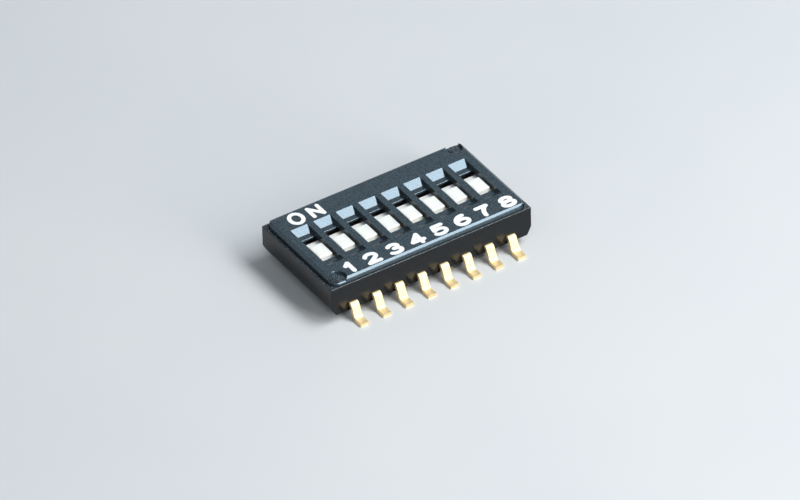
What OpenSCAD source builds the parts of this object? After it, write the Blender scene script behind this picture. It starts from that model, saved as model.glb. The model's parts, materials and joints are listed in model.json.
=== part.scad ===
// Half-pitch surface-mount slide DIP switch, eight ways.
// X runs along the row from switch 1 to switch 8, +Y towards the ON side, +Z up.
// The origin is under the middle of the body, on the plane of the solder feet.
// All sliders are drawn at OFF.

/* [Row] */
// Spacing of the switches and of their leads along the row
pitch = 1.27; // [1.27:0.01:1.6]
// From the centre of the last switch to the end face of the base
end_reach = 1.19; // [1.1:0.01:1.6]

/* [Base] */
// Width of the base across the row, without the leads
base_w = 6.06; // [5:0.01:8]
// Height of the base from its underside to its rim
base_h = 1.65; // [1.55:0.01:2.2]
// Gap between the underside of the base and the board
standoff = 0.33; // [0.1:0.01:0.5]
// Height of the parting line above the board, which is also the floor of the wells
parting_z = 0.86; // [0.8:0.01:0.9]
// How far each end face draws in from the parting line to the underside
end_draft = 0.22; // [0:0.01:0.3]
// Chamfer round the underside
foot_chamfer = 0.1; // [0.02:0.01:0.15]
// Width of the rim round the cover at the two ends
end_rim = 0.15; // [0.08:0.01:0.25]
// Width of the rim round the cover at the two long sides
side_rim = 0.07; // [0.05:0.01:0.15]
// Depth of the seat for the cover below the rim
seat_depth = 0.08; // [0.04:0.01:0.15]
// Radius of the holes under the contact pads, where pins of the mould held the strip
pin_hole_r = 0.2; // [0.1:0.01:0.24]

/* [Cover] */
// Thickness of the cover plate
cover_t = 0.38; // [0.36:0.01:0.5]
// Radius of the corners of the cover
cover_corner_r = 0.45; // [0.2:0.01:0.6]
// Width of the sloping edge round the top of the cover
edge_run = 0.12; // [0.04:0.01:0.15]
// Drop of the sloping edge round the top of the cover
edge_drop = 0.08; // [0.03:0.01:0.12]
// Gap between the cover and the rim of the base
cover_gap = 0.03; // [0.02:0.01:0.05]
// Width of the tongue under each long side of the cover
tongue_w = 0.4; // [0.2:0.01:0.5]
// Length of the tongue below the plate
tongue_h = 0.5; // [0.2:0.01:0.7]

/* [Slots in the cover] */
// Width of a slot
slot_w = 0.94; // [0.8:0.01:1.05]
// Length of a slot at the top of the cover
slot_l = 3.25; // [2.8:0.01:3.9]
// Run of the ramp at each end of a slot
ramp_run = 0.41; // [0.2:0.01:0.5]
// Drop of the ramp, down to the ledge
ramp_drop = 0.26; // [0.15:0.01:0.28]
// Length of the window between the two ledges, which the knob passes through
window_l = 1.81; // [1.7:0.01:2.2]

/* [Stakes] */
// Radius of the stakes that hold the cover down, at two opposite corners
stake_r = 0.24; // [0.15:0.01:0.25]
// Radius of the head of a stake
stake_head_r = 0.31; // [0.29:0.01:0.32]
// Radius of the mouth of the recess round the head
recess_r = 0.42; // [0.41:0.01:0.45]
// Depth of that recess
recess_d = 0.16; // [0.12:0.01:0.2]
// Bevel round the mouth of the recess
recess_bevel = 0.08; // [0.02:0.01:0.09]
// Thickness of the head
stake_head_t = 0.09; // [0.05:0.01:0.12]
// From the end of the cover to the centre of a stake
stake_end = 0.49; // [0.45:0.01:0.6]
// From the long side of the cover to the centre of a stake
stake_side = 0.34; // [0.32:0.01:0.45]

/* [Sliders] */
// Travel from OFF to ON
travel = 0.5; // [0.3:0.01:0.6]
// Width of the knob
knob_w = 0.74; // [0.6:0.01:0.8]
// Length of the knob along its travel
knob_l = 0.98; // [0.7:0.01:1.15]
// Chamfer round the top of the knob
knob_chamfer = 0.04; // [0.01:0.01:0.08]
// How far the top of the knob lies below the top of the cover
knob_drop = 0.16; // [0.05:0.01:0.2]
// Width of the carrier under the knob
carrier_w = 0.98; // [0.95:0.01:1.0]
// Length of the carrier
carrier_l = 1.94; // [1.85:0.01:2.4]
// Wall at each end of the pocket for the contact spring
pocket_wall = 0.12; // [0.08:0.01:0.15]
// Gap round a carrier in its well
slide_gap = 0.04; // [0.02:0.01:0.05]

/* [Contact springs] */
// Thickness of the spring strip
spring_t = 0.06; // [0.05:0.01:0.08]
// Width of the spring
spring_w = 0.56; // [0.4:0.01:0.6]
// Width of the split that makes twin fingers of each arm
spring_split = 0.14; // [0.08:0.01:0.2]
// Length of the flat back of the spring
spring_back = 0.7; // [0.5:0.01:0.8]
// From the middle of the spring to each contact point
spring_reach = 0.7; // [0.65:0.01:0.72]
// Gap left under the contact points
touch_gap = 0.02; // [0.01:0.01:0.03]

/* [Terminals] */
// Width of a lead outside the base
lead_w = 0.45; // [0.35:0.01:0.5]
// Thickness of the terminal strip
lead_t = 0.18; // [0.12:0.01:0.2]
// From the side of the base to the tip of a foot
lead_reach = 0.97; // [0.85:0.01:1.3]
// Angle of the leg below the level
leg_angle = 65; // [50:1:75]
// Inner radius of the bend at the base
shoulder_r = 0.05; // [0.03:0.01:0.12]
// Inner radius of the bend above the foot
ankle_r = 0.2; // [0.1:0.01:0.25]
// Width of the contact pad on the floor of a well
pad_w = 0.62; // [0.5:0.01:0.8]
// Inner end of the pad on the OFF side, from the middle of the row
off_pad_end = 0.35; // [0.2:0.01:0.4]
// Inner end of the pad on the ON side, from the middle of the row
on_pad_end = 0.7; // [0.65:0.01:0.75]

/* [Hidden] */

ways = 8;
through = 0.2;                                  // how far a cut runs past a face
$fn = 64;

base_l = (ways - 1) * pitch + 2 * end_reach;
rim_z = standoff + base_h;
seat_z = rim_z - seat_depth;
top_z = seat_z + cover_t;
cover_l = base_l - 2 * (end_rim + cover_gap);
cover_w = base_w - 2 * (side_rim + cover_gap);
stake_x = cover_l / 2 - stake_end;
stake_y = cover_w / 2 - stake_side;
head_z = top_z - recess_d;                      // floor of the recess, under the head

rest_y = -travel / 2;                           // middle of a slider at OFF
well_w = carrier_w + 2 * slide_gap;
well_l = carrier_l + travel + 2 * slide_gap;
carrier_top = seat_z - slide_gap;
carrier_bottom = parting_z + slide_gap;
pocket_w = spring_w + 2 * slide_gap;
pocket_l = carrier_l - 2 * pocket_wall;

groove_w = tongue_w + 2 * cover_gap;
groove_y = (well_l / 2 + base_w / 2) / 2;       // middle of the groove, halfway through the side wall
tongue_l = 2 * (stake_x - recess_r - 2 * cover_gap);

lead_z = parting_z - lead_t;                    // underside of the strip where it leaves the base
pad_tail = 0.3;                                 // how far a pad runs on under the side wall
pad_out = well_l / 2 + pad_tail;                // outer end of a pad, from the middle of the row
spring_rise = 0.3;                              // height of the spring from its points to its back
spring_top = parting_z + touch_gap + spring_rise; // top of its back, against the roof of the pocket
tip_r = 0.08;                                   // radius of the contact points

function way_x(k) = (k - (ways + 1) / 2) * pitch;
function pad_end(side) = side > 0 ? on_pad_end : off_pad_end;

// Block centred on X and Y, standing on z = 0
module block(size) {
    translate([-size.x / 2, -size.y / 2, 0]) cube(size);
}

// Plate with round corners, standing on z = 0
module round_plate(l, w, r, t) {
    linear_extrude(t) {
        square([l - 2 * r, w], center = true);
        square([l, w - 2 * r], center = true);
        for (sx = [-1, 1], sy = [-1, 1]) translate([sx * (l / 2 - r), sy * (w / 2 - r)]) circle(r);
    }
}

// Prism along X from an outline whose coordinates are Y and Z
module along_x(length) {
    translate([-length / 2, 0, 0]) rotate([90, 0, 90]) linear_extrude(length) children();
}

// Prism along Y from an outline whose coordinates are X and Z
module along_y(length) {
    translate([0, length / 2, 0]) rotate([90, 0, 0]) linear_extrude(length) children();
}

// Section of the base from a half width, the draft below the parting line and the chamfer at the underside
module base_section(half, draft) {
    polygon([
        [half, rim_z], [half, parting_z], [half - draft, standoff + foot_chamfer],
        [half - draft - foot_chamfer, standoff], [-half + draft + foot_chamfer, standoff],
        [-half + draft, standoff + foot_chamfer], [-half, parting_z], [-half, rim_z]
    ]);
}

// Section of the cover plate with its sloping edges
module cover_section(half) {
    polygon([
        [half, 0], [half, cover_t - edge_drop], [half - edge_run, cover_t],
        [-half + edge_run, cover_t], [-half, cover_t - edge_drop], [-half, 0]
    ]);
}

module at_stakes() {
    for (s = [-1, 1]) translate([s * stake_x, s * stake_y, 0]) children();
}

module stake() {
    translate([0, 0, seat_z - through]) cylinder(r = stake_r, h = head_z - seat_z + through + stake_head_t);
    translate([0, 0, head_z]) cylinder(r1 = stake_head_r, r2 = stake_head_r - stake_head_t / 2, h = stake_head_t);
}

module base() {
    color([0.07, 0.08, 0.09]) {
        difference() {
            intersection() {
                along_y(base_w) base_section(base_l / 2, end_draft);
                along_x(base_l) base_section(base_w / 2, 0);
            }
            translate([0, 0, seat_z]) round_plate(cover_l + 2 * cover_gap, cover_w + 2 * cover_gap,
                cover_corner_r + cover_gap, seat_depth + through);
            for (k = [1:ways]) translate([way_x(k), 0, parting_z]) block([well_w, well_l, base_h]);
            for (s = [-1, 1]) translate([0, s * groove_y, seat_z - tongue_h - cover_gap])
                block([tongue_l + 2 * cover_gap, groove_w, base_h]);
            for (k = [1:ways], side = [-1, 1]) {
                inner_strip(k, side);
                translate([way_x(k), side * (pad_end(side) + pad_out) / 2, standoff - through])
                    cylinder(r = pin_hole_r, h = lead_z - standoff + through);
            }
        }
        at_stakes() stake();
    }
}

// Opening of one switch: ramps down to two ledges, then a straight window through the plate
module slot_cut() {
    half = slot_l / 2;
    ledge = half - ramp_run;
    along_x(slot_w) polygon([
        [half + ramp_run * through / ramp_drop, cover_t + through], [ledge, cover_t - ramp_drop],
        [window_l / 2, cover_t - ramp_drop], [window_l / 2, -through],
        [-window_l / 2, -through], [-window_l / 2, cover_t - ramp_drop],
        [-ledge, cover_t - ramp_drop], [-half - ramp_run * through / ramp_drop, cover_t + through]
    ]);
}

// Recess round the head of a stake: straight wall with a bevel at its mouth, standing on its floor
module recess() {
    wall_r = recess_r - recess_bevel;
    cylinder(r = wall_r, h = recess_d);
    translate([0, 0, recess_d - recess_bevel])
        cylinder(r1 = wall_r, r2 = recess_r + through, h = recess_bevel + through);
}

module cover() {
    color([0.12, 0.14, 0.15]) translate([0, 0, seat_z]) {
        difference() {
            intersection() {
                round_plate(cover_l, cover_w, cover_corner_r, cover_t);
                along_y(cover_w) cover_section(cover_l / 2);
                along_x(cover_l) cover_section(cover_w / 2);
            }
            for (k = [1:ways]) translate([way_x(k), 0, 0]) slot_cut();
            at_stakes() {
                translate([0, 0, -through]) cylinder(r = stake_r + cover_gap, h = cover_t + 2 * through);
                translate([0, 0, cover_t - recess_d]) recess();
            }
        }
        for (s = [-1, 1]) translate([0, s * groove_y, -tongue_h]) block([tongue_l, tongue_w, tongue_h]);
    }
}

// Section of the knob with its two chamfers
module knob_section(width, height) {
    polygon([
        [width / 2, 0], [width / 2, height - knob_chamfer], [width / 2 - knob_chamfer, height],
        [knob_chamfer - width / 2, height], [-width / 2, height - knob_chamfer], [-width / 2, 0]
    ]);
}

module slider(k) {
    knob_h = top_z - knob_drop - carrier_top;
    color([0.93, 0.92, 0.88]) translate([way_x(k), rest_y, 0]) {
        difference() {
            translate([0, 0, carrier_bottom]) block([carrier_w, carrier_l, carrier_top - carrier_bottom]);
            translate([0, 0, carrier_bottom - through])
                block([pocket_w, pocket_l, spring_top - carrier_bottom + through]);
        }
        translate([0, 0, carrier_top]) intersection() {
            along_x(knob_w) knob_section(knob_l, knob_h);
            along_y(knob_l) knob_section(knob_w, knob_h);
        }
    }
}

// Middle line of half a spring: flat back, arm sloping down, round point and upturned tip
function half_spring() =
    let (high = spring_top - spring_t / 2, low = parting_z + touch_gap + spring_t / 2)
    concat(
        [[0, high], [spring_back / 2, high]],
        [for (a = [-44:22:44]) [spring_reach + tip_r * sin(a), low + tip_r * (1 - cos(a))]]
    );

function unit(v) = v / norm(v);

// Outline of a strip of even thickness along a middle line
function ribbon(line, t) =
    let (n = len(line),
        dirs = [for (i = [0:n - 1]) unit(line[min(i + 1, n - 1)] - line[max(i - 1, 0)])],
        left = [for (i = [0:n - 1]) line[i] + t / 2 * [-dirs[i].y, dirs[i].x]],
        right = [for (i = [n - 1:-1:0]) line[i] - t / 2 * [-dirs[i].y, dirs[i].x]])
    concat(left, right);

module contact(k) {
    half = half_spring();
    line = concat([for (i = [len(half) - 1:-1:1]) [-half[i].x, half[i].y]], half);
    color([0.86, 0.66, 0.27]) translate([way_x(k), rest_y, 0]) difference() {
        along_x(spring_w) polygon(ribbon(line, spring_t));
        for (s = [-1, 1]) translate([0, s * (spring_back + pocket_l) / 2, parting_z])
            block([spring_split, pocket_l, spring_rise + through]);
    }
}

// The part of a terminal inside the base: contact pad and shank, flush with the floor of the well
module inner_strip(k, side) {
    start = pad_end(side);
    translate([way_x(k), 0, lead_z]) rotate([0, 0, side > 0 ? 0 : 180]) {
        translate([0, (start + pad_out) / 2, 0]) block([pad_w, pad_out - start, lead_t]);
        translate([0, (pad_out + base_w / 2) / 2, 0]) block([lead_w, base_w / 2 - pad_out, lead_t]);
    }
}

// The part of a terminal outside the base: shoulder bend, leg, ankle bend and foot, drawn for the ON side
module gull_wing() {
    leg_l = (lead_z - (shoulder_r + ankle_r + lead_t) * (1 - cos(leg_angle))) / sin(leg_angle);
    translate([0, base_w / 2, lead_z]) {
        bend(shoulder_r, leg_angle, -1);
        translate([0, 0, -shoulder_r]) rotate([-leg_angle, 0, 0]) translate([0, 0, shoulder_r]) {
            translate([0, leg_l / 2, 0]) block([lead_w, leg_l, lead_t]);
            translate([0, leg_l, 0]) {
                bend(ankle_r, leg_angle, 1);
                translate([0, 0, lead_t + ankle_r]) rotate([leg_angle, 0, 0])
                    translate([0, 0, -lead_t - ankle_r]) foot(leg_l);
            }
        }
    }
}

// Straight foot from the end of the ankle bend to the tip of the lead
module foot(leg_l) {
    run = (shoulder_r + ankle_r + lead_t) * sin(leg_angle) + leg_l * cos(leg_angle);
    foot_l = lead_reach - run;
    translate([0, foot_l / 2, 0]) block([lead_w, foot_l, lead_t]);
}

// Bend of a strip that lies on z = 0 and runs along +Y: direction -1 turns it down, 1 turns it up
module bend(r, angle, direction) {
    centre_z = direction > 0 ? lead_t + r : -r;
    translate([-lead_w / 2, 0, centre_z]) rotate([90, 0, 90])
        rotate([0, 0, direction > 0 ? -90 : 90 - angle])
        rotate_extrude(angle = angle) translate([r, 0]) square([lead_t, lead_w]);
}

// Terminals 1 to 8 stand on the OFF side from left to right, 9 to 16 on the ON side from right to left
module terminal(n) {
    side = n <= ways ? -1 : 1;
    k = n <= ways ? n : 2 * ways + 1 - n;
    color([0.85, 0.68, 0.32]) {
        inner_strip(k, side);
        translate([way_x(k), 0, 0]) rotate([0, 0, side > 0 ? 0 : 180]) gull_wing();
    }
}

base();
cover();
for (k = [1:ways]) {
    slider(k);
    contact(k);
}
for (n = [1:2 * ways]) terminal(n);
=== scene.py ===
import json
import math

import bmesh
import bpy
from mathutils import Matrix, Vector

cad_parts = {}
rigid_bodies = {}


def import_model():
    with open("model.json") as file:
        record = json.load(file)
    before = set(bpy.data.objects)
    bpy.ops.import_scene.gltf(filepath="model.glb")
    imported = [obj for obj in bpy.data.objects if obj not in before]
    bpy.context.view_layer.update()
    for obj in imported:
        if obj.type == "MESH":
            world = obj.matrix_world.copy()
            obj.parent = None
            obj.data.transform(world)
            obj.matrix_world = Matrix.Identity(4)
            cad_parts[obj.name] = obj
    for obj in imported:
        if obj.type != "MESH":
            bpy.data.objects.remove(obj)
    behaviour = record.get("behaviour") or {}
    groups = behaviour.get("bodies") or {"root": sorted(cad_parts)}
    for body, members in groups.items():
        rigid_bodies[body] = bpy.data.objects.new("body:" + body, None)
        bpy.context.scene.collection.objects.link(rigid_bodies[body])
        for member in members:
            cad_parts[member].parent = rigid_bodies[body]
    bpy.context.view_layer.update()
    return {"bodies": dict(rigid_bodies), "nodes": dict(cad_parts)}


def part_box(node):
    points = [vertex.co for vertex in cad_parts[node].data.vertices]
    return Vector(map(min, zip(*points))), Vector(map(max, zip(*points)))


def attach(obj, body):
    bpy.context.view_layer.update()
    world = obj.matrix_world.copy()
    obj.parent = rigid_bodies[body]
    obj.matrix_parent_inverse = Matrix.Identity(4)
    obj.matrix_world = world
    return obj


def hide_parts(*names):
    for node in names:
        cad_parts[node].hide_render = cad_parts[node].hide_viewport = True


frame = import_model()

mm = 0.001
switchBodies = sorted(name for name in frame["bodies"] if name.startswith("switch_"))
ways = len(switchBodies)
baseLow, baseHigh = (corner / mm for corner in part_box("base"))
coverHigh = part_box("cover")[1] / mm
firstLow, firstHigh = (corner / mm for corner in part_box("slider_1"))
lastLow, lastHigh = (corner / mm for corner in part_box(f"slider_{ways}"))
firstX = (firstLow.x + firstHigh.x) / 2
pitch = ((lastLow.x + lastHigh.x) / 2 - firstX) / (ways - 1)
topZ = coverHigh.z
over = 0.3                   # mm that a cutting tool stands clear of the face it enters
touch = 0.01                 # mm within which a point counts as on a face or a line

# Studio: camera, lamps, world and floor

studio = {
    "azimuth": -32.3,        # the camera stands in front, towards switch 1
    "elevation": 38.0,
    "roll": 1.5,
    "distance": 0.5393,
    "lens": 512.0,
    "aim": (0.124, -0.022),  # mm right and up from the origin to the middle of the view
    "keyFrom": (0.44, -0.31, 0.84),
    "keySide": (1.0, 0.0, 0.0),      # direction of the lamp's first size
    "keySize": (0.072, 0.15),
    "keyRadiance": 10.0,
    "keyColour": (0.90, 0.96, 1.0),
    "frontFrom": (0.294, -0.855, 0.43),
    "frontSide": (0.945, 0.325, 0.0),
    "frontSize": (0.053, 0.16),
    "frontRadiance": 8.6,
    "frontColour": (1.0, 0.98, 0.94),
    "fillFrom": (-0.33, -0.52, 0.79),
    "fillSide": (0.85, -0.53, 0.0),
    "fillSize": (0.1, 0.04),
    "fillRadiance": 3.6,
    "fillColour": (0.96, 0.98, 1.0),
    "lampDistance": 0.2,
    "horizonColour": (0.64, 0.65, 0.66),
    "wallColour": (0.32, 0.385, 0.43),
    "ceilingColour": (0.06, 0.065, 0.07),
    "skyStops": {0.0: "horizonColour", 0.63: "wallColour", 0.78: "ceilingColour"},
    "floorColours": ((0.62, 0.63, 0.64), (0.65, 0.655, 0.66)),
    "floorGrain": 40,
    "floorRoughness": 0.9,
    "floorReach": 3.0,
}


def addObject(name, data):
    made = bpy.data.objects.new(name, data)
    bpy.context.scene.collection.objects.link(made)
    return made


def placeCamera():
    az, el, roll = (math.radians(studio[key]) for key in ("azimuth", "elevation", "roll"))
    back = Vector((math.sin(az) * math.cos(el), -math.cos(az) * math.cos(el), math.sin(el)))
    level = Vector((math.cos(az), math.sin(az), 0))
    upright = back.cross(level)
    right = level * math.cos(roll) - upright * math.sin(roll)
    up = upright * math.cos(roll) + level * math.sin(roll)
    camera = addObject("camera", bpy.data.cameras.new("camera"))
    place = back * studio["distance"] + (right * studio["aim"][0] + up * studio["aim"][1]) * mm
    turn = Matrix((right, up, back)).transposed().to_4x4()
    camera.matrix_world = Matrix.Translation(place) @ turn
    camera.data.lens = studio["lens"]
    camera.data.sensor_width = 36
    camera.data.clip_start = 0.05
    camera.data.clip_end = 20
    bpy.context.scene.camera = camera


def softbox(name):
    lamp = bpy.data.lights.new(name + "Lamp", "AREA")
    lamp.shape = "RECTANGLE"
    lamp.size, lamp.size_y = studio[name + "Size"]
    lamp.energy = studio[name + "Radiance"] * math.pi * lamp.size * lamp.size_y
    lamp.color = studio[name + "Colour"]
    holder = addObject(name + "Lamp", lamp)
    aim = Vector(studio[name + "From"]).normalized()
    upright = aim.cross(Vector(studio[name + "Side"])).normalized()
    turn = Matrix((upright.cross(aim), upright, aim)).transposed().to_4x4()
    holder.matrix_world = Matrix.Translation(aim * studio["lampDistance"]) @ turn


def lightStudio():
    softbox("key")
    softbox("front")
    softbox("fill")
    world = bpy.data.worlds.new("studioWorld")
    world.use_nodes = True
    bpy.context.scene.world = world
    nodes, links = world.node_tree.nodes, world.node_tree.links
    coords = nodes.new("ShaderNodeTexCoord")
    split = nodes.new("ShaderNodeSeparateXYZ")
    ramp = nodes.new("ShaderNodeValToRGB")
    ramp.color_ramp.elements.new(0.5)
    for stop, (height, name) in zip(ramp.color_ramp.elements, studio["skyStops"].items()):
        stop.position, stop.color = height, (*studio[name], 1)
    links.new(coords.outputs["Generated"], split.inputs[0])
    links.new(split.outputs["Z"], ramp.inputs[0])
    links.new(ramp.outputs[0], nodes["Background"].inputs["Color"])
    bpy.context.scene.view_settings.view_transform = "Standard"


# Materials: every pattern reads Object coordinates, so a grain counts cycles per metre

finishes = {                 # tones dark and light, roughness from smooth to rough, relief in mm
    "basePlastic": {
        "shader": {"IOR": 1.5, "Specular_IOR_Level": 0.3},
        "tones": ((0.004, 0.005, 0.006), (0.008, 0.009, 0.011)),
        "flowGrain": (900, 2600, 5200),
        "flowRelief": 0.0012,
        # Pale specks on everything above the rim line, stake heads too: painted highlight glints
        "glintTones": ((0.022, 0.032, 0.04), (0.14, 0.16, 0.17)),
        "glintRange": (0.45, 0.7),       # noise from which and up to which the painted highlight specks grow paler
        "glintGrain": 16000,
        # Paler brownish tone inside the wells: painted light that lifts their shade
        "wellLightTones": ((0.05, 0.045, 0.04), (0.11, 0.1, 0.095)),
        "wellLightGrain": 9000,
        "wellLightInset": 0.5,                # from the end faces to the part of the wells that gets painted light
        "roughness": (0.08, 0.17),
        "roughGrain": 2500,
        "relief": 0.0003,
        "reliefGrain": 38000,
    },
    "coverPlastic": {
        "shader": {"IOR": 1.56, "Specular_IOR_Level": 0.78,
                   "Specular_Tint": (0.72, 0.88, 1.0, 1.0)},
        "tones": ((0.018, 0.028, 0.036), (0.050, 0.068, 0.080)),
        "toneGrain": 13000,
        "roughness": (0.1, 0.2),
        "roughGrain": 14000,
        "relief": 0.00045,
        "reliefGrain": 26000,
        "reliefDetail": 4,
    },
    "sliderPlastic": {
        "shader": {"IOR": 1.5, "Subsurface_Weight": 0.5, "Subsurface_Scale": 0.25 * mm,
                   "Subsurface_Radius": (1.0, 0.9, 0.75)},
        "tones": ((0.91, 0.89, 0.83), (0.95, 0.93, 0.88)),
        "toneGrain": 5000,
        "roughness": (0.28, 0.4),
        "roughGrain": 3500,
        "relief": 0.0008,
        "reliefGrain": 30000,
        "reliefDetail": 3,
    },
    "printInk": {
        "shader": {"IOR": 1.45},
        "tones": ((0.88, 0.89, 0.89), (0.95, 0.95, 0.94)),
        "toneGrain": 14000,
        "roughness": (0.4, 0.6),
        "roughGrain": 9000,
        "relief": 0.0012,
        "reliefGrain": 26000,
        "reliefDetail": 3,
    },
    "gold": {
        "shader": {"Metallic": 1.0},
        "tones": ((0.95, 0.76, 0.45), (1.0, 0.85, 0.56)),
        "toneGrain": 5000,
        "streakGrain": (50000, 5000, 5000),
        "streakRelief": 0.0006,
        "roughness": (0.58, 0.7),
    },
}
noiseDetail = 3.0
toneRange = (0.35, 0.65)     # noise from which and up to which a tone turns from dark to light
roughRange = (0.3, 0.7)


def newMaterial(name, **sockets):
    material = bpy.data.materials.new(name)
    material.use_nodes = True
    shader = material.node_tree.nodes["Principled BSDF"]
    for socket, value in sockets.items():
        shader.inputs[socket.replace("_", " ")].default_value = value
    return material, material.node_tree, shader


def grain(tree, scale, detail=noiseDetail):
    coords = tree.nodes.new("ShaderNodeTexCoord")
    mapping = tree.nodes.new("ShaderNodeMapping")
    mapping.inputs["Scale"].default_value = scale if isinstance(scale, tuple) else (scale,) * 3
    noise = tree.nodes.new("ShaderNodeTexNoise")
    noise.inputs["Scale"].default_value = 1
    noise.inputs["Detail"].default_value = detail
    tree.links.new(coords.outputs["Object"], mapping.inputs["Vector"])
    tree.links.new(mapping.outputs[0], noise.inputs["Vector"])
    return noise.outputs["Fac"]


def tones(tree, fac, dark, light, low=toneRange[0], high=toneRange[1]):
    ramp = tree.nodes.new("ShaderNodeValToRGB")
    ramp.color_ramp.elements[0].position = low
    ramp.color_ramp.elements[0].color = (*dark, 1)
    ramp.color_ramp.elements[1].position = high
    ramp.color_ramp.elements[1].color = (*light, 1)
    tree.links.new(fac, ramp.inputs[0])
    return ramp.outputs[0]


def tone(tree, shader, fac, dark, light):
    tree.links.new(tones(tree, fac, dark, light), shader.inputs["Base Color"])


def within(tree, low, high, outside, inside):
    # One colour inside a box given by two corners in millimetres, the other outside it
    coords = tree.nodes.new("ShaderNodeTexCoord")
    mapping = tree.nodes.new("ShaderNodeMapping")
    mapping.inputs["Scale"].default_value = [2 / ((b - a) * mm) for a, b in zip(low, high)]
    mapping.inputs["Location"].default_value = [(a + b) / (a - b) for a, b in zip(low, high)]
    size = tree.nodes.new("ShaderNodeVectorMath")
    size.operation = "ABSOLUTE"
    split = tree.nodes.new("ShaderNodeSeparateXYZ")
    tree.links.new(coords.outputs["Object"], mapping.inputs["Vector"])
    tree.links.new(mapping.outputs[0], size.inputs[0])
    tree.links.new(size.outputs[0], split.inputs[0])
    furthest = split.outputs["X"]
    for axis in "YZ":
        larger = tree.nodes.new("ShaderNodeMath")
        larger.operation = "MAXIMUM"
        tree.links.new(furthest, larger.inputs[0])
        tree.links.new(split.outputs[axis], larger.inputs[1])
        furthest = larger.outputs[0]
    mask = tree.nodes.new("ShaderNodeMath")
    mask.operation = "LESS_THAN"
    mask.inputs[1].default_value = 1
    mix = tree.nodes.new("ShaderNodeMix")
    mix.data_type = "RGBA"
    ends = {socket.identifier: socket for socket in mix.inputs}
    tree.links.new(furthest, mask.inputs[0])
    tree.links.new(mask.outputs[0], ends["Factor_Float"])
    tree.links.new(outside, ends["A_Color"])
    tree.links.new(inside, ends["B_Color"])
    return next(socket for socket in mix.outputs if socket.type == "RGBA")


def gloss(tree, shader, fac, smooth, rough):
    spread = tree.nodes.new("ShaderNodeMapRange")
    spread.inputs["From Min"].default_value = roughRange[0]
    spread.inputs["From Max"].default_value = roughRange[1]
    spread.inputs["To Min"].default_value = smooth
    spread.inputs["To Max"].default_value = rough
    tree.links.new(fac, spread.inputs[0])
    tree.links.new(spread.outputs[0], shader.inputs["Roughness"])


def relief(tree, shader, *layers):
    normal = None
    for fac, height in layers:
        bump = tree.nodes.new("ShaderNodeBump")
        bump.inputs["Distance"].default_value = height * mm
        tree.links.new(fac, bump.inputs["Height"])
        if normal:
            tree.links.new(normal, bump.inputs["Normal"])
        normal = bump.outputs[0]
    tree.links.new(normal, shader.inputs["Normal"])


def basePlastic():
    finish = finishes["basePlastic"]
    material, tree, shader = newMaterial("basePlastic", **finish["shader"])
    flow = grain(tree, finish["flowGrain"])
    moulded = tones(tree, flow, *finish["tones"])
    # Pale specks over the rim and stake heads: painted highlight glints
    paintedGlints = tones(tree, grain(tree, finish["glintGrain"]), *finish["glintTones"],
                    *finish["glintRange"])
    # Paler tone inside the wells: painted light lifting the shade there
    paintedWellLight = tones(tree, grain(tree, finish["wellLightGrain"]), *finish["wellLightTones"])
    wellX, wellY = baseHigh.x - finish["wellLightInset"], base["wellLength"] / 2 + touch
    wells = (-wellX, -wellY, base["partingZ"] - touch), (wellX, wellY, seatZ - touch)
    rimX, rimY = baseHigh.x + over, baseHigh.y + over
    rim = (-rimX, -rimY, base["rimZ"] - base["rimEdge"]), (rimX, rimY, topZ)
    colour = within(tree, *rim, within(tree, *wells, moulded, paintedWellLight), paintedGlints)
    tree.links.new(colour, shader.inputs["Base Color"])
    gloss(tree, shader, grain(tree, finish["roughGrain"]), *finish["roughness"])
    relief(tree, shader, (flow, finish["flowRelief"]),
           (grain(tree, finish["reliefGrain"]), finish["relief"]))
    return material


def evenFinish(name):
    finish = finishes[name]
    material, tree, shader = newMaterial(name, **finish["shader"])
    tone(tree, shader, grain(tree, finish["toneGrain"]), *finish["tones"])
    gloss(tree, shader, grain(tree, finish["roughGrain"]), *finish["roughness"])
    bumps = grain(tree, finish["reliefGrain"], finish["reliefDetail"])
    relief(tree, shader, (bumps, finish["relief"]))
    return material


def goldPlate(name):
    finish = finishes["gold"]
    material, tree, shader = newMaterial(name, **finish["shader"])
    streaks = grain(tree, finish["streakGrain"])
    tone(tree, shader, grain(tree, finish["toneGrain"]), *finish["tones"])
    gloss(tree, shader, streaks, *finish["roughness"])
    relief(tree, shader, (streaks, finish["streakRelief"]))
    return material


# Shared making

def plainMesh(source, name):
    bpy.context.view_layer.update()
    graph = bpy.context.evaluated_depsgraph_get()
    mesh = bpy.data.meshes.new_from_object(source.evaluated_get(graph))
    bpy.data.objects.remove(source)
    return addObject(name, mesh)


def dress(piece, body, material, slot, *nodes):
    piece.data.materials.clear()
    piece.data.materials.append(material)
    if nodes:
        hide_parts(*nodes)
    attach(piece, body)


def prism(outline, axis, start, end):
    # Closed solid from a flat outline; axis x takes (y, z), axis y (x, z) and axis z (x, y)
    places = {"x": lambda a, b, t: (t, a, b),
              "y": lambda a, b, t: (a, t, b),
              "z": lambda a, b, t: (a, b, t)}
    place = places[axis]
    solid = bmesh.new()
    rings = [[solid.verts.new(Vector(place(a, b, t)) * mm) for a, b in outline]
             for t in (start, end)]
    for ring in rings:
        solid.faces.new(ring)
    count = len(outline)
    for i in range(count):
        j = (i + 1) % count
        solid.faces.new((rings[0][i], rings[0][j], rings[1][j], rings[1][i]))
    return closedObject(solid, "prism")


def closedObject(solid, name):
    bmesh.ops.recalc_face_normals(solid, faces=solid.faces)
    mesh = bpy.data.meshes.new(name)
    solid.to_mesh(mesh)
    solid.free()
    return addObject(name, mesh)


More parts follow.
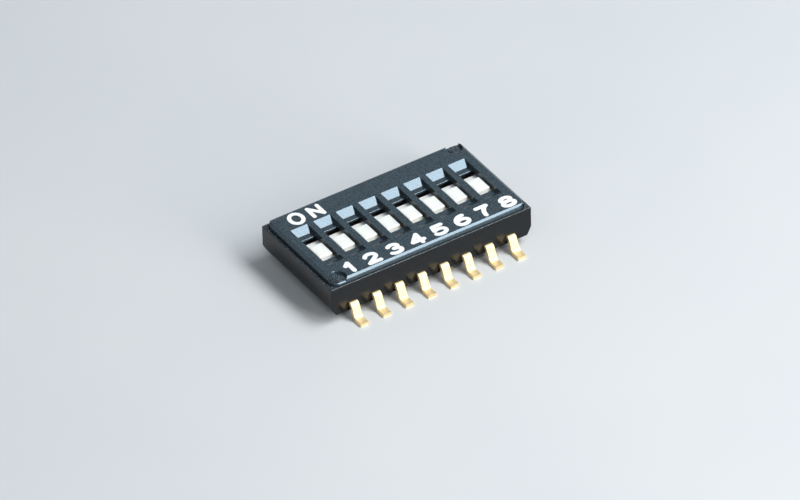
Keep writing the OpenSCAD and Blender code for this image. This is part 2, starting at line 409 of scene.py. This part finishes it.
def turned(profile, centreX, centreY, steps=56):
    # Closed solid about a vertical axis from (radius, z) points, both ends of them on the axis
    solid = bmesh.new()
    ends = [solid.verts.new(Vector((centreX, centreY, z)) * mm)
            for z in (profile[0][1], profile[-1][1])]
    turn = [2 * math.pi * i / steps for i in range(steps)]
    rings = []
    for radius, z in profile[1:-1]:
        places = [(centreX + radius * math.cos(a), centreY + radius * math.sin(a), z) for a in turn]
        rings.append([solid.verts.new(Vector(place) * mm) for place in places])
    for i in range(steps):
        j = (i + 1) % steps
        solid.faces.new((ends[0], rings[0][j], rings[0][i]))
        solid.faces.new((ends[1], rings[-1][i], rings[-1][j]))
        for low, high in zip(rings, rings[1:]):
            solid.faces.new((low[i], low[j], high[j], high[i]))
    return closedObject(solid, "turned")


def arc(centre, radii, start, end, steps):
    turn = [math.radians(start + (end - start) * i / steps) for i in range(steps + 1)]
    return [(centre[0] + radii[0] * math.cos(a), centre[1] + radii[1] * math.sin(a)) for a in turn]


def roundRectangle(halfX, halfY, radius, steps=12):
    corners = [(1, 1, 0), (-1, 1, 90), (-1, -1, 180), (1, -1, 270)]
    outline = []
    for sx, sy, start in corners:
        centre = (sx * (halfX - radius), sy * (halfY - radius))
        outline += arc(centre, (radius, radius), start, start + 90, steps)
    return outline


def combine(body, tool, operation):
    change = body.modifiers.new(operation.lower(), "BOOLEAN")
    change.operation = operation
    change.solver = "EXACT"
    change.object = tool
    made = plainMesh(body, body.name)
    bpy.data.objects.remove(tool)
    return made


def nodeTree(name, inputs):
    tree = bpy.data.node_groups.new(name, "GeometryNodeTree")
    tree.interface.new_socket(name="Geometry", in_out="INPUT", socket_type="NodeSocketGeometry")
    ids = {}
    for label, kind in inputs.items():
        socket = tree.interface.new_socket(name=label, in_out="INPUT",
                                           socket_type="NodeSocket" + kind)
        ids[label] = socket.identifier
    tree.interface.new_socket(name="Geometry", in_out="OUTPUT", socket_type="NodeSocketGeometry")
    return tree, tree.nodes.new("NodeGroupInput"), tree.nodes.new("NodeGroupOutput"), ids


def addNode(tree, kind, inputs=None, **settings):
    node = tree.nodes.new(kind)
    for key, value in settings.items():
        setattr(node, key, value)
    for key, value in (inputs or {}).items():
        if isinstance(value, bpy.types.NodeSocket):
            tree.links.new(value, node.inputs[key])
        else:
            node.inputs[key].default_value = value
    return node


def finishTree(tree, geometry, material, end):
    real = addNode(tree, "GeometryNodeRealizeInstances", {"Geometry": geometry})
    painted = addNode(tree, "GeometryNodeSetMaterial",
                      {"Geometry": real.outputs[0], "Material": material})
    tree.links.new(painted.outputs[0], end.inputs[0])


def runTree(source, tree, ids, values, name):
    modifier = source.modifiers.new(tree.name, "NODES")
    modifier.node_group = tree
    for label, value in values.items():
        modifier[ids[label]] = value
    return plainMesh(source, name)


def rowPoints(tree, given):
    step = addNode(tree, "ShaderNodeCombineXYZ", {"X": given["Pitch"]})
    first = addNode(tree, "ShaderNodeCombineXYZ", {"X": given["First"]})
    row = addNode(tree, "GeometryNodeMeshLine", {
        "Count": given["Count"], "Start Location": first.outputs[0], "Offset": step.outputs[0]})
    return row.outputs[0]


def punchTree(material):
    # Takes the same bite out of a body once for each switch of the row
    tree, start, end, ids = nodeTree("punchRow", {
        "Cutter": "Object", "Count": "Int", "Pitch": "Float", "First": "Float"})
    given = start.outputs
    cutter = addNode(tree, "GeometryNodeObjectInfo", {"Object": given["Cutter"]})
    bites = addNode(tree, "GeometryNodeInstanceOnPoints",
                    {"Points": rowPoints(tree, given), "Instance": cutter.outputs["Geometry"]})
    cut = addNode(tree, "GeometryNodeMeshBoolean",
                  {"Mesh 1": given["Geometry"], "Mesh 2": bites.outputs[0]},
                  operation="DIFFERENCE", solver="EXACT")
    finishTree(tree, cut.outputs[0], material, end)
    return tree, ids


def punch(body, tree, ids, cutter):
    made = runTree(body, tree, ids, {"Cutter": cutter, "Count": ways, "Pitch": pitch * mm,
                                     "First": firstX * mm}, body.name)
    bpy.data.objects.remove(cutter)
    return made


def shadeFlats(mesh, crease=32):
    # A corner takes its normal from the largest plane round it, so flats stay flat to their edges
    planes, areas = [], {}
    for face in mesh.polygons:
        height = face.normal.dot(face.center) / mm
        plane = tuple(round(part, 2) for part in (*face.normal, height))
        planes.append(plane)
        areas[plane] = areas.get(plane, 0) + face.area
    around = [[] for vert in mesh.vertices]
    for face, plane in zip(mesh.polygons, planes):
        for index in face.vertices:
            around[index].append((face.normal.copy(), areas[plane] ** 2))
    limit = math.cos(math.radians(crease))
    corners = []
    for face in mesh.polygons:
        for index in face.vertices:
            pulls = (normal * weight for normal, weight in around[index]
                     if normal.dot(face.normal) > limit)
            corners.append(sum(pulls, Vector()).normalized())
    mesh.normals_split_custom_set(corners)


meshing = {
    "merge": 0.0005,         # mm within which two points become one
    "snap": 0.003,           # mm within which a cut keeps to a point already there
    "onLine": 0.0035,        # mm within which an edge counts as made by a cut
    "flatAngle": 0.4,        # degrees up to which two faces count as one
    "sharpAngle": 28,        # degrees from which an edge is rounded
    "segments": 3,
}


def softenEdges(body, name, linesX, linesY, widthAt, widest):
    # Cuts flat faces into simple cells along the lines, then rounds sharp edges by their own widths
    shell = bmesh.new()
    shell.from_mesh(body.data)
    bmesh.ops.remove_doubles(shell, verts=shell.verts, dist=meshing["merge"] * mm)
    lines = [(Vector((x * mm, 0, 0)), Vector((1, 0, 0))) for x in linesX]
    lines += [(Vector((0, y * mm, 0)), Vector((0, 1, 0))) for y in linesY]
    for point, normal in lines:
        parts = list(shell.verts) + list(shell.edges) + list(shell.faces)
        bmesh.ops.bisect_plane(shell, geom=parts, plane_co=point, plane_no=normal,
                               dist=meshing["snap"] * mm)
    near = meshing["onLine"] * mm
    flat = []
    for edge in shell.edges:
        if edge.calc_face_angle(math.pi) > math.radians(meshing["flatAngle"]):
            continue
        ends = [vert.co for vert in edge.verts]
        if not any(all(abs((co - point).dot(normal)) < near for co in ends)
                   for point, normal in lines):
            flat.append(edge)
    bmesh.ops.dissolve_edges(shell, edges=flat, use_verts=True)
    weight = shell.edges.layers.float.new("bevel_weight_edge")
    for edge in shell.edges:
        if edge.calc_face_angle(0) > math.radians(meshing["sharpAngle"]):
            middle = (edge.verts[0].co + edge.verts[1].co) / (2 * mm)
            edge[weight] = widthAt(middle) / widest
    for face in shell.faces:
        face.smooth = True
    shell.to_mesh(body.data)
    shell.free()
    bevel = body.modifiers.new("edges", "BEVEL")
    bevel.width = widest * mm
    bevel.segments = meshing["segments"]
    bevel.limit_method = "WEIGHT"
    bevel.use_clamp_overlap = False
    bevel.miter_outer = "MITER_ARC"
    made = plainMesh(body, name)
    shadeFlats(made.data)
    return made


# Stakes: two pegs of the base at opposite corners, melted over the cover

stakes = {
    "fromEnd": 0.49,         # from the end of the cover to the middle of a stake
    "fromSide": 0.34,
    "radius": 0.24,
    "headRadius": 0.28,
    "headHeight": 0.05,
    "headRound": 0.9,        # share of the head's height that is rounded
    "headSteps": 6,
    "rootDepth": 0.15,       # how far the peg starts below the seat
    "recessRadius": 0.42,
    "recessDepth": 0.16,
    "mouthEdge": 0.06,       # rounding of the mouth on the side towards the slots
    "lipRun": 0.06,          # slope where the floor of the recess breaks out of the side
    "lipDrop": 0.038,
    "holeRadius": 0.27,
}
stakeX = coverHigh.x - stakes["fromEnd"]
stakeY = coverHigh.y - stakes["fromSide"]


# Cover: plate with a sloping edge and one stepped slot for each switch

cover = {
    "thickness": 0.38,
    "cornerRadius": 0.45,
    "edgeRun": 0.12,
    "edgeDrop": 0.08,
    "slotWidth": 0.94,
    "slotHalf": 1.625,       # half length of a slot at the top
    "rampRun": 0.41,
    "rampDrop": 0.26,
    "windowHalf": 0.905,
    "tongueWidth": 0.4,
    "tongueDepth": 0.5,
    "tongueMiddle": 2.145,
    "tongueGap": 0.06,       # between the end of a tongue and the recess of a stake
    "tongueRoot": 0.05,      # how far a tongue starts inside the plate
    "edge": 0.014,
    "ledgeEdge": 0.035,
    "shoulderEdge": 0.03,    # where the sloping edge meets the side
    "plainRun": 0.06,        # next to a recess, where edges stay sharp
    "edgeTaper": 4,          # mm from there for each mm of rounding
}
seatZ = topZ - cover["thickness"]


def slopedSection(half):
    shoulder, crest = topZ - cover["edgeDrop"], half - cover["edgeRun"]
    right = [(half, seatZ), (half, shoulder), (crest, topZ)]
    return right + [(-x, z) for x, z in reversed(right)]


def slotSection():
    half, window, ledgeZ = cover["slotHalf"], cover["windowHalf"], topZ - cover["rampDrop"]
    ledge = half - cover["rampRun"]
    outer = half + cover["rampRun"] * over / cover["rampDrop"]
    right = [(window, seatZ - over), (window, ledgeZ), (ledge, ledgeZ), (outer, topZ + over)]
    return right + [(-y, z) for y, z in reversed(right)]


def makeCover(material):
    halfX, halfY = coverHigh.x, coverHigh.y
    body = prism(roundRectangle(halfX, halfY, cover["cornerRadius"]), "z", seatZ, topZ + over)
    body = combine(body, prism(slopedSection(halfX), "y", -halfY - over, halfY + over), "INTERSECT")
    body = combine(body, prism(slopedSection(halfY), "x", -halfX - over, halfX + over), "INTERSECT")
    halfSlot = cover["slotWidth"] / 2
    tree, ids = punchTree(material)
    body = punch(body, tree, ids, prism(slotSection(), "x", -halfSlot, halfSlot))
    floorZ = topZ - stakes["recessDepth"]
    wall = stakes["recessRadius"]
    hole = stakes["holeRadius"]
    drill = [(0, seatZ - over), (hole, seatZ - over), (hole, floorZ),
             (wall, floorZ), (wall, topZ + over), (0, topZ + over)]
    lipRun, lipDrop = stakes["lipRun"], stakes["lipDrop"]
    slope = [(halfY - lipRun, floorZ), (halfY + over, floorZ - lipDrop * (over / lipRun + 1)),
             (halfY + over, floorZ + lipDrop), (halfY - lipRun, floorZ + lipDrop)]
    for side in (-1, 1):
        body = combine(body, turned(drill, side * stakeX, side * stakeY), "DIFFERENCE")
        outline = [(side * y, z) for y, z in slope]
        lip = prism(outline, "x", side * stakeX - wall, side * stakeX + wall)
        inside = [(0, floorZ - over), (wall, floorZ - over), (wall, topZ + over), (0, topZ + over)]
        lip = combine(lip, turned(inside, side * stakeX, side * stakeY), "INTERSECT")
        body = combine(body, lip, "DIFFERENCE")
    reach = stakeX - wall - cover["tongueGap"]
    for side in (-1, 1):
        near, far = (side * cover["tongueMiddle"] + step * cover["tongueWidth"] / 2
                     for step in (-1, 1))
        strip = [(near, seatZ - cover["tongueDepth"]), (far, seatZ - cover["tongueDepth"]),
                 (far, seatZ + cover["tongueRoot"]), (near, seatZ + cover["tongueRoot"])]
        body = combine(body, prism(strip, "x", -reach, reach), "UNION")
    linesX = [firstX + k * pitch + step * halfSlot for k in range(ways) for step in (-1, 1)]
    linesX += [-stakeX, stakeX, -reach, reach]
    linesY = [side * y for side in (-1, 1) for y in (cover["slotHalf"], cover["windowHalf"], stakeY,
              cover["tongueMiddle"] - cover["tongueWidth"] / 2)]
    ledgeZ, shoulderZ = topZ - cover["rampDrop"], topZ - cover["edgeDrop"]

    def widthAt(middle):
        side = math.copysign(1, middle.x)
        outward = side * (middle.y - side * stakeY)
        clear = math.hypot(middle.x - side * stakeX, outward) - wall
        if abs(clear) < touch:
            wider = (stakes["mouthEdge"] - cover["edge"]) * max(0.0, -outward / wall)
            return cover["edge"] + wider if abs(middle.z - topZ) < touch else 0
        if abs(middle.z - ledgeZ) < touch and abs(abs(middle.y) - cover["windowHalf"]) < touch:
            return cover["ledgeEdge"]
        slopeX = halfX - cover["edgeRun"] - 2 * touch
        outside = abs(middle.x) > slopeX or abs(middle.y) > halfY - touch
        onShoulder = outside and abs(middle.z - shoulderZ) < touch
        width = cover["shoulderEdge"] if onShoulder else cover["edge"]
        return min(width, max(clear - cover["plainRun"], 0) / cover["edgeTaper"])

    piece = softenEdges(body, "cover_plate", linesX, linesY, widthAt, cover["ledgeEdge"])
    dress(piece, "housing", material, "cover_plastic", "cover")


# Base: box with drafted ends, a seat for the cover, a well for each slider and mould holes below

base = {
    "rimZ": 1.98,
    "partingZ": 0.86,
    "endDraft": 0.22,
    "footChamfer": 0.1,
    "gap": 0.03,             # between the cover and the rim
    "wellWidth": 1.06,
    "wellLength": 2.52,
    "pinRadius": 0.2,
    "pinTop": 0.7,
    "pinSteps": 32,
    "pinY": (-0.955, 1.13),  # mould holes under the pads, OFF side and ON side
    "edge": 0.035,
    "rimEdge": 0.016,
    "endReach": 0.4,         # from an end inwards, more than its draft and chamfer take up
}


def endSection(half, draft):
    low, foot, chamfer = baseLow.z, baseLow.z + base["footChamfer"], base["footChamfer"]
    right = [(half - draft - chamfer, low), (half - draft, foot),
             (half, base["partingZ"]), (half, base["rimZ"])]
    return right + [(-x, z) for x, z in reversed(right)]


def stakeProfile():
    floorZ = topZ - stakes["recessDepth"]
    headRadius, headHeight = stakes["headRadius"], stakes["headHeight"]
    rise = headHeight * stakes["headRound"]
    centre = (headRadius - rise, floorZ + headHeight - rise)
    crown = arc(centre, (rise, rise), 0, 90, stakes["headSteps"])
    root = seatZ - stakes["rootDepth"]
    return [(0, root), (stakes["radius"], root), (stakes["radius"], floorZ),
            (headRadius, floorZ)] + crown + [(0, floorZ + headHeight)]


def makeBase(material):
    halfX, halfY = baseHigh.x, baseHigh.y
    body = prism(endSection(halfX, base["endDraft"]), "y", -halfY - over, halfY + over)
    body = combine(body, prism(endSection(halfY, 0), "x", -halfX - over, halfX + over), "INTERSECT")
    gap = base["gap"]
    seat = roundRectangle(coverHigh.x + gap, coverHigh.y + gap, cover["cornerRadius"] + gap)
    body = combine(body, prism(seat, "z", seatZ, base["rimZ"] + over), "DIFFERENCE")
    tree, ids = punchTree(material)
    halfWell, wellEnd = base["wellWidth"] / 2, base["wellLength"] / 2
    well = [(-wellEnd, base["partingZ"]), (wellEnd, base["partingZ"]),
            (wellEnd, topZ + over), (-wellEnd, topZ + over)]
    body = punch(body, tree, ids, prism(well, "x", -halfWell, halfWell))
    for y in base["pinY"]:
        pin = [(0, baseLow.z - over), (base["pinRadius"], baseLow.z - over),
               (base["pinRadius"], base["pinTop"]), (0, base["pinTop"])]
        body = punch(body, tree, ids, turned(pin, 0, y, base["pinSteps"]))
    for side in (-1, 1):
        body = combine(body, turned(stakeProfile(), side * stakeX, side * stakeY), "UNION")
    linesX = [firstX + k * pitch + step * halfWell for k in range(ways) for step in (-1, 0, 1)]
    linesX += [-stakeX, stakeX, -coverHigh.x, coverHigh.x]
    linesY = [-wellEnd, wellEnd, -stakeY, stakeY, *base["pinY"]]

    def widthAt(middle):
        outside = abs(middle.x) > halfX - base["endReach"] or abs(middle.y) > halfY - touch
        below = middle.z < base["rimZ"] - touch
        onFace = abs(middle.x) > halfX - touch or abs(middle.y) > halfY - touch
        return base["edge"] if outside and below or onFace else base["rimEdge"]

    piece = softenEdges(body, "base_shell", linesX, linesY, widthAt, base["edge"])
    dress(piece, "housing", material, "base_plastic", "base")


# Sliders and contact springs

sliders = {
    "edge": 0.014,
    "cornerEdge": 0.05,      # rounding of the knob's upright corners
    "crown": 0.06,           # from the top down, the part with the small rounding
}


def makeSwitches(white, gold):
    for k, body in enumerate(switchBodies, 1):
        node = f"slider_{k}"
        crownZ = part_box(node)[1].z / mm - sliders["crown"]

        def widthAt(middle):
            upright = seatZ < middle.z < crownZ
            return sliders["cornerEdge"] if upright else sliders["edge"]

        copy = addObject("sliderCopy", frame["nodes"][node].data.copy())
        piece = softenEdges(copy, f"knob_{k}", [], [], widthAt, sliders["cornerEdge"])
        dress(piece, body, white, "slider_plastic", node)
        spring = frame["nodes"][f"contact_{k}"]
        spring.data.materials.clear()
        spring.data.materials.append(gold)


# Leads: one strip swept along its bent middle line, repeated along each side

leads = {
    "width": 0.45,
    "thickness": 0.18,
    "edge": 0.025,           # rounding of the stamped edges
    "edgeSteps": 3,
    "legAngle": 65.0,
    "shoulderRadius": 0.05,  # inside of the bend at the body
    "ankleRadius": 0.2,      # inside of the bend above the foot
    "bendSteps": 10,
    "padLength": 0.5,
    "padStep": 0.001,        # length over which the wide pad becomes the strip
}


def leadPath(padEnd, tip, padTop):
    half, steps = leads["thickness"] / 2, leads["bendSteps"]
    level, face = padTop - half, baseHigh.y
    angle, slope = leads["legAngle"], math.radians(leads["legAngle"])
    shoulder, ankle = leads["shoulderRadius"] + half, leads["ankleRadius"] + half
    drop = level - half - (shoulder + ankle) * (1 - math.cos(slope))
    ankleY = face + (shoulder + ankle) * math.sin(slope) + drop / math.tan(slope)
    down = arc((face, level - shoulder), (shoulder, shoulder), 90, 90 - angle, steps)
    out = arc((ankleY, half + ankle), (ankle, ankle), 270 - angle, 270, steps)
    padOut = padEnd + leads["padLength"]
    pad = [(padEnd, level), (padOut, level), (padOut + leads["padStep"], level)]
    return pad + down + out + [(tip, half)]


def leadTree(material):
    tree, start, end, ids = nodeTree("leadRow", {
        "Count": "Int", "Pitch": "Float", "First": "Float", "Turn": "Float", "Strip Width": "Float",
        "Strip Thickness": "Float", "Edge": "Float", "Pad Width": "Float", "Pad Out": "Float"})
    given = start.outputs
    strip = addNode(tree, "GeometryNodeCurvePrimitiveQuadrilateral",
                    {"Width": given["Strip Width"], "Height": given["Strip Thickness"]})
    rounded = addNode(tree, "GeometryNodeFilletCurve",
                      {"Curve": strip.outputs[0], "Radius": given["Edge"],
                       "Count": leads["edgeSteps"]}, mode="POLY")
    upright = addNode(tree, "GeometryNodeSetCurveNormal", {"Curve": given["Geometry"]}, mode="Z_UP")
    swept = addNode(tree, "GeometryNodeCurveToMesh",
                    {"Curve": upright.outputs[0], "Profile Curve": rounded.outputs[0],
                     "Fill Caps": True})
    place = addNode(tree, "GeometryNodeInputPosition")
    split = addNode(tree, "ShaderNodeSeparateXYZ", {"Vector": place.outputs[0]})
    inPad = addNode(tree, "FunctionNodeCompare", {0: split.outputs["Y"], 1: given["Pad Out"]},
                    data_type="FLOAT", operation="LESS_THAN")
    widen = addNode(tree, "ShaderNodeMath", {0: given["Pad Width"], 1: given["Strip Width"]},
                    operation="DIVIDE")
    wider = addNode(tree, "ShaderNodeMath", {0: split.outputs["X"], 1: widen.outputs[0]},
                    operation="MULTIPLY")
    moved = addNode(tree, "ShaderNodeCombineXYZ",
                    {"X": wider.outputs[0], "Y": split.outputs["Y"], "Z": split.outputs["Z"]})
    pad = addNode(tree, "GeometryNodeSetPosition",
                  {"Geometry": swept.outputs[0], "Selection": inPad.outputs[0],
                   "Position": moved.outputs[0]})
    turn = addNode(tree, "ShaderNodeCombineXYZ", {"Z": given["Turn"]})
    placed = addNode(tree, "GeometryNodeInstanceOnPoints", {
        "Points": rowPoints(tree, given), "Instance": pad.outputs[0], "Rotation": turn.outputs[0]})
    finishTree(tree, placed.outputs[0], material, end)
    return tree, ids


def polylines(name, strokes):
    curve = bpy.data.curves.new(name, "CURVE")
    curve.dimensions = "3D"
    for points in strokes:
        spline = curve.splines.new("POLY")
        spline.points.add(len(points) - 1)
        for point, place in zip(spline.points, points):
            point.co = (*(value * mm for value in place), 1)
    return addObject(name, curve)


def makeLeads(material):
    tree, ids = leadTree(material)
    sides = {"leads_off_side": (1, math.pi), "leads_on_side": (ways + 1, 0.0)}
    for name, (first, turn) in sides.items():
        low, high = (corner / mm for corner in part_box(f"terminal_{first}"))
        padEnd, tip = sorted(abs(y) for y in (low.y, high.y))
        source = polylines(name, [[(0, y, z) for y, z in leadPath(padEnd, tip, high.z)]])
        piece = runTree(source, tree, ids, {
            "Count": ways, "Pitch": pitch * mm, "First": firstX * mm, "Turn": turn,
            "Strip Width": leads["width"] * mm, "Strip Thickness": leads["thickness"] * mm,
            "Edge": leads["edge"] * mm, "Pad Width": (high.x - low.x) * mm,
            "Pad Out": (padEnd + leads["padLength"] + leads["padStep"] / 2) * mm}, name)
        shadeFlats(piece.data)
        nodes = [f"terminal_{first + k}" for k in range(ways)]
        dress(piece, "housing", material, "terminal_gold", *nodes)


# Print: numbers and the ON mark, as strokes of ink just proud of the cover

marks = {
    "ink": 0.012,
    "dotSides": 32,          # of the round end of a stroke
    "digitStroke": 0.23,
    "digitHeight": 0.88,
    "digitWidth": 0.84,
    "digitShift": 0.27,      # the numbers stand a little right of their slots
    "digitY": -2.318,
    "wordStroke": 0.205,
    "wordY": 2.23,
    "word": {"O": (-4.195, 0.85, 0.97), "N": (-3.115, 0.785, 0.94)},     # middle, width and height
}

# Middle lines of the strokes in a unit box
glyphs = {
    "1": [[(0.34, 0.74), (0.66, 1)], [(0.66, 1), (0.66, 0)]],
    "2": [arc((0.5, 0.7), (0.46, 0.3), 165, -42, 20),
          [(0.84, 0.5), (0.04, 0)], [(0.04, 0), (1, 0)]],
    "3": [arc((0.49, 0.735), (0.42, 0.235), 150, -90, 20),
          arc((0.49, 0.235), (0.5, 0.265), 90, -150, 20)],
    "4": [[(0.72, 0), (0.72, 1)], [(0.72, 1), (0, 0.27)], [(0, 0.27), (1, 0.27)]],
    "5": [[(0.92, 1), (0.16, 1)], [(0.16, 1), (0.08, 0.54)],
          arc((0.46, 0.31), (0.52, 0.31), 137, -150, 24)],
    "6": [arc((0.5, 0.31), (0.5, 0.31), 0, 360, 32), arc((0.75, 0.4), (0.75, 0.6), 180, 85, 16)],
    "7": [[(0.05, 1), (0.95, 1)], arc((1.15, -0.05), (0.8, 1.07), 104, 177, 16)],
    "8": [arc((0.53, 0.725), (0.42, 0.235), 0, 360, 32),
          arc((0.53, 0.225), (0.5, 0.265), 0, 360, 32)],
    "O": [arc((0.5, 0.5), (0.5, 0.5), 0, 360, 40)],
    "N": [[(0.03, 0.02), (0.03, 0.95)], [(0.03, 0.95), (0.97, 0.02)], [(0.97, 0.02), (0.97, 0.95)]],
}


def glyphStrokes(letter, centreX, centreY, width, height, stroke):
    w, h = width - stroke, height - stroke
    return [[(centreX + (x - 0.5) * w, centreY + (y - 0.5) * h, topZ) for x, y in line]
            for line in glyphs[letter]]


def printTree(material):
    tree, start, end, ids = nodeTree("printStrokes", {"Stroke": "Float", "Ink": "Float"})
    given = start.outputs
    ribbon = addNode(tree, "GeometryNodeCurvePrimitiveQuadrilateral",
                     {"Width": given["Stroke"], "Height": given["Ink"]})
    level = addNode(tree, "GeometryNodeSetCurveNormal", {"Curve": given["Geometry"]}, mode="Z_UP")
    bands = addNode(tree, "GeometryNodeCurveToMesh",
                    {"Curve": level.outputs[0], "Profile Curve": ribbon.outputs[0],
                     "Fill Caps": True})
    half = addNode(tree, "ShaderNodeMath", {0: given["Stroke"], 1: 2.0}, operation="DIVIDE")
    dot = addNode(tree, "GeometryNodeMeshCylinder",
                  {"Vertices": marks["dotSides"], "Radius": half.outputs[0], "Depth": given["Ink"]})
    tips = addNode(tree, "GeometryNodeCurveEndpointSelection")
    dots = addNode(tree, "GeometryNodeInstanceOnPoints",
                   {"Points": given["Geometry"], "Selection": tips.outputs[0],
                    "Instance": dot.outputs[0]})
    both = addNode(tree, "GeometryNodeJoinGeometry")
    tree.links.new(bands.outputs[0], both.inputs[0])
    tree.links.new(dots.outputs[0], both.inputs[0])
    real = addNode(tree, "GeometryNodeRealizeInstances", {"Geometry": both.outputs[0]})
    union = addNode(tree, "GeometryNodeMeshBoolean",
                    {"Mesh 2": real.outputs[0], "Self Intersection": True},
                    operation="UNION", solver="EXACT")
    finishTree(tree, union.outputs[0], material, end)
    return tree, ids


def makePrint(material):
    tree, ids = printTree(material)
    numbers, word = [], []
    for k in range(ways):
        centreX = firstX + k * pitch + marks["digitShift"]
        numbers += glyphStrokes(str(k + 1), centreX, marks["digitY"], marks["digitWidth"],
                                marks["digitHeight"], marks["digitStroke"])
    for letter, (x, width, height) in marks["word"].items():
        word += glyphStrokes(letter, x, marks["wordY"], width, height, marks["wordStroke"])
    prints = {"print_numbers": (numbers, "digitStroke"), "print_on": (word, "wordStroke")}
    for name, (lines, stroke) in prints.items():
        sizes = {"Stroke": marks[stroke] * mm, "Ink": marks["ink"] * mm}
        piece = runTree(polylines(name, lines), tree, ids, sizes, name)
        piece.data.shade_flat()
        dress(piece, "housing", material, None)


def makeFloor():
    material, tree, shader = newMaterial("paleFloor", Roughness=studio["floorRoughness"])
    tone(tree, shader, grain(tree, studio["floorGrain"]), *studio["floorColours"])
    reach = studio["floorReach"]
    mesh = bpy.data.meshes.new("floor")
    corners = [(-reach, -reach, 0), (reach, -reach, 0), (reach, reach, 0), (-reach, reach, 0)]
    mesh.from_pydata(corners, [], [(0, 1, 2, 3)])
    floor = addObject("floor", mesh)
    floor.data.materials.append(material)


placeCamera()
lightStudio()
makeFloor()
print("studio ready")
makeBase(basePlastic())
makeCover(evenFinish("coverPlastic"))
print("housing ready")
makeSwitches(evenFinish("sliderPlastic"), goldPlate("springGold"))
print("switches ready")
makeLeads(goldPlate("terminalGold"))
print("leads ready")
makePrint(evenFinish("printInk"))
print("print ready")
